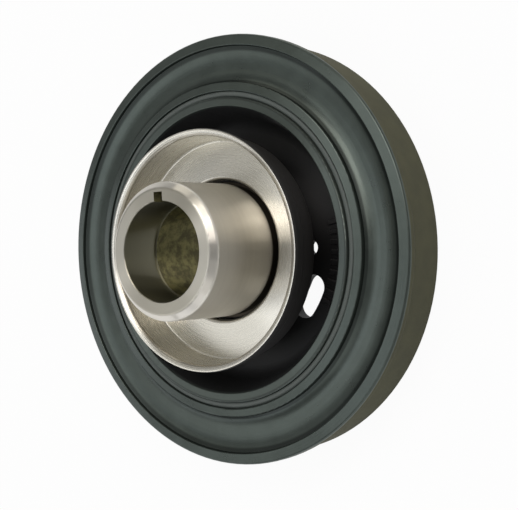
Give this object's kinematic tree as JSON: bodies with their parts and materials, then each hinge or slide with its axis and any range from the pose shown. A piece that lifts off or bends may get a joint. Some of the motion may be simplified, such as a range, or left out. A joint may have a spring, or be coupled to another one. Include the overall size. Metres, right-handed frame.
{
  "type": "harmonic balancer",
  "caption": "Crankshaft harmonic balancer: keyed hub with turned snout, bonded rubber ring, heavy inertia ring and a pressed dish that shields the oil seal.",
  "frame": {"origin": "on the crankshaft's axis, in the plane of the pulley side, which is the bottom of the box", "axes": "+Z along the crankshaft's axis towards the engine, which is the snout's end; +X and +Y across it, with the keyway 2.5 degrees past +Y"},
  "size_m": [0.162, 0.162, 0.0583],
  "materials": {
    "hub_iron": "turned bright on the snout and in the bore, black coating on the web and rim",
    "damper_rubber": "matt black, slightly crowned",
    "ring_iron": "matt dark grey-green coating over turned iron",
    "shield_steel": "bright pressed steel with turning marks"
  },
  "bodies": {
    "root": {"hub": "hub_iron", "rubber_ring": "damper_rubber", "inertia_ring": "ring_iron", "dust_shield": "shield_steel"}
  },
  "joints": []
}
